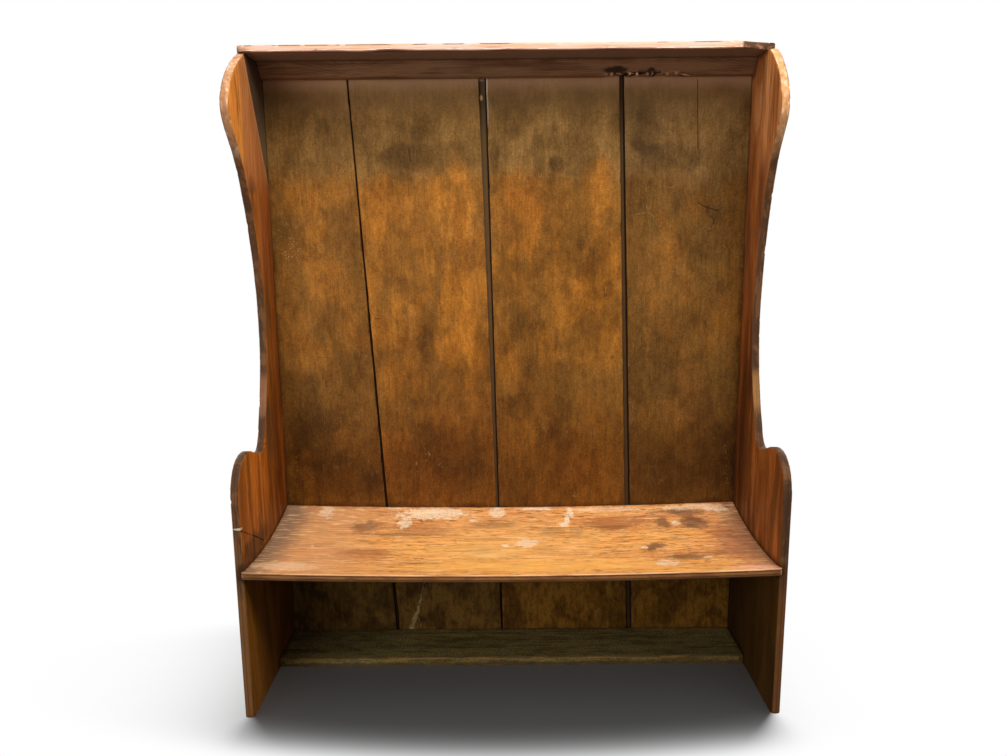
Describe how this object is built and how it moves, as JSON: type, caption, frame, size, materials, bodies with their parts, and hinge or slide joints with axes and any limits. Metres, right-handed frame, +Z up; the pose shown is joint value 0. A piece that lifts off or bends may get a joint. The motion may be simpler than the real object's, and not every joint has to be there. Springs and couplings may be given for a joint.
{
  "type": "monks bench",
  "caption": "High-backed boarded pine settle with winged ends, a nailed lap-jointed plank back, a dished seat, a bottom board and a narrow hood.",
  "frame": {"origin": "centre of the bench's footprint box, on the floor", "axes": "+X across the bench towards the right end as seen from the front, +Y from the front edge of the seat to the back planks, +Z up"},
  "size_m": [1.4, 0.458, 1.73],
  "materials": {
    "end_wood": "old waxed pine, orange to red-brown, arrises worn pale",
    "plank_wood": "old waxed pine, dull olive-brown above and warm brown below, blotched, soft sheen",
    "seat_wood": "waxed pine polished by use, honey-orange with pale worn patches and scrapes",
    "bottom_wood": "unpolished pine, dark grey-green with dust and wear",
    "rail_wood": "dark red-brown pine, splintered along its lower edge",
    "hood_wood": "pale worn pine along the front edge, dark brown below",
    "nail_iron": "dark rusted cut nail"
  },
  "bodies": {
    "root": {"back_plank_1": "plank_wood", "back_plank_2": "plank_wood", "back_plank_3": "plank_wood", "back_plank_4": "plank_wood", "bottom_board": "bottom_wood", "end_left": "end_wood", "end_right": "end_wood", "hood_board": "hood_wood", "nail_hood_left_end_1": "nail_iron", "nail_hood_left_end_2": "nail_iron", "nail_hood_rail_1": "nail_iron", "nail_hood_rail_2": "nail_iron", "nail_hood_rail_3": "nail_iron", "nail_hood_rail_4": "nail_iron", "nail_hood_right_end_1": "nail_iron", "nail_hood_right_end_2": "nail_iron", "nail_left_end_bottom_1": "nail_iron", "nail_left_end_bottom_2": "nail_iron", "nail_left_end_rail": "nail_iron", "nail_left_end_seat_1": "nail_iron", "nail_left_end_seat_2": "nail_iron", "nail_left_end_seat_3": "nail_iron", "nail_plank_1_bottom_1": "nail_iron", "nail_plank_1_bottom_2": "nail_iron", "nail_plank_1_rail_1": "nail_iron", "nail_plank_1_rail_2": "nail_iron", "nail_plank_1_seat_1": "nail_iron", "nail_plank_1_seat_2": "nail_iron", "nail_plank_2_bottom_1": "nail_iron", "nail_plank_2_bottom_2": "nail_iron", "nail_plank_2_rail_1": "nail_iron", "nail_plank_2_rail_2": "nail_iron", "nail_plank_2_seat_1": "nail_iron", "nail_plank_2_seat_2": "nail_iron", "nail_plank_3_bottom_1": "nail_iron", "nail_plank_3_bottom_2": "nail_iron", "nail_plank_3_rail_1": "nail_iron", "nail_plank_3_rail_2": "nail_iron", "nail_plank_3_seat_1": "nail_iron", "nail_plank_3_seat_2": "nail_iron", "nail_plank_4_bottom_1": "nail_iron", "nail_plank_4_bottom_2": "nail_iron", "nail_plank_4_rail_1": "nail_iron", "nail_plank_4_rail_2": "nail_iron", "nail_plank_4_seat_1": "nail_iron", "nail_plank_4_seat_2": "nail_iron", "nail_right_end_bottom_1": "nail_iron", "nail_right_end_bottom_2": "nail_iron", "nail_right_end_rail": "nail_iron", "nail_right_end_seat_1": "nail_iron", "nail_right_end_seat_2": "nail_iron", "nail_right_end_seat_3": "nail_iron", "seat_board": "seat_wood", "top_rail": "rail_wood"}
  },
  "joints": []
}
